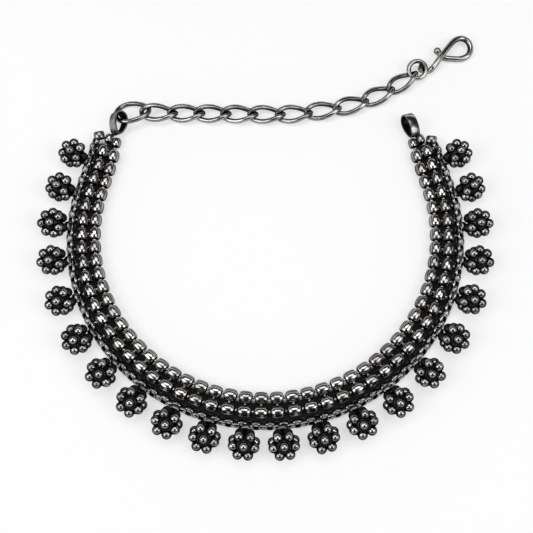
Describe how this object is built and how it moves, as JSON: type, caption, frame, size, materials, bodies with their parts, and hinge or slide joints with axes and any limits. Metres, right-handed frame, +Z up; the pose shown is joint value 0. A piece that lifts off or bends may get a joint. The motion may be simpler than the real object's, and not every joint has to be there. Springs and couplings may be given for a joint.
{
  "type": "choker",
  "caption": "Rigid open choker of paired barrel bead rows with a trim chain, granulated ball drops along its outer edge, and an extension chain with a hook.",
  "frame": {"origin": "middle of the whole outline in plan, on the table that the choker lies on", "axes": "+X to the right as seen from above with the gap at the top, +Y towards the gap and the extension chain, +Z up from the table"},
  "size_m": [0.1544, 0.1541, 0.0104],
  "materials": {
    "bead_silver": "oxidised, polished on the high spots",
    "edge_chain_silver": "oxidised, polished on the high spots",
    "drop_silver": "oxidised, polished on the high spots",
    "link_silver": "oxidised, polished on the high spots",
    "hook_silver": "oxidised, polished on the high spots",
    "loop_silver": "oxidised, polished on the high spots"
  },
  "bodies": {
    "root": {"inner_bead_row": "bead_silver", "outer_bead_row": "bead_silver", "edge_chain": "edge_chain_silver", "ball_drop_01": "drop_silver", "ball_drop_02": "drop_silver", "ball_drop_03": "drop_silver", "ball_drop_04": "drop_silver", "ball_drop_05": "drop_silver", "ball_drop_06": "drop_silver", "ball_drop_07": "drop_silver", "ball_drop_08": "drop_silver", "ball_drop_09": "drop_silver", "ball_drop_10": "drop_silver", "ball_drop_11": "drop_silver", "ball_drop_12": "drop_silver", "ball_drop_13": "drop_silver", "ball_drop_14": "drop_silver", "ball_drop_15": "drop_silver", "ball_drop_16": "drop_silver", "ball_drop_17": "drop_silver", "ball_drop_18": "drop_silver", "ball_drop_19": "drop_silver", "ball_drop_20": "drop_silver", "ball_drop_21": "drop_silver", "ball_drop_22": "drop_silver", "chain_link_01": "link_silver", "chain_link_02": "link_silver", "chain_link_03": "link_silver", "chain_link_04": "link_silver", "chain_link_05": "link_silver", "chain_link_06": "link_silver", "chain_link_07": "link_silver", "chain_link_08": "link_silver", "chain_link_09": "link_silver", "chain_link_10": "link_silver", "chain_link_11": "link_silver", "jump_ring": "hook_silver", "hook": "hook_silver", "end_loop_left": "loop_silver", "end_loop_right": "loop_silver"}
  },
  "joints": []
}
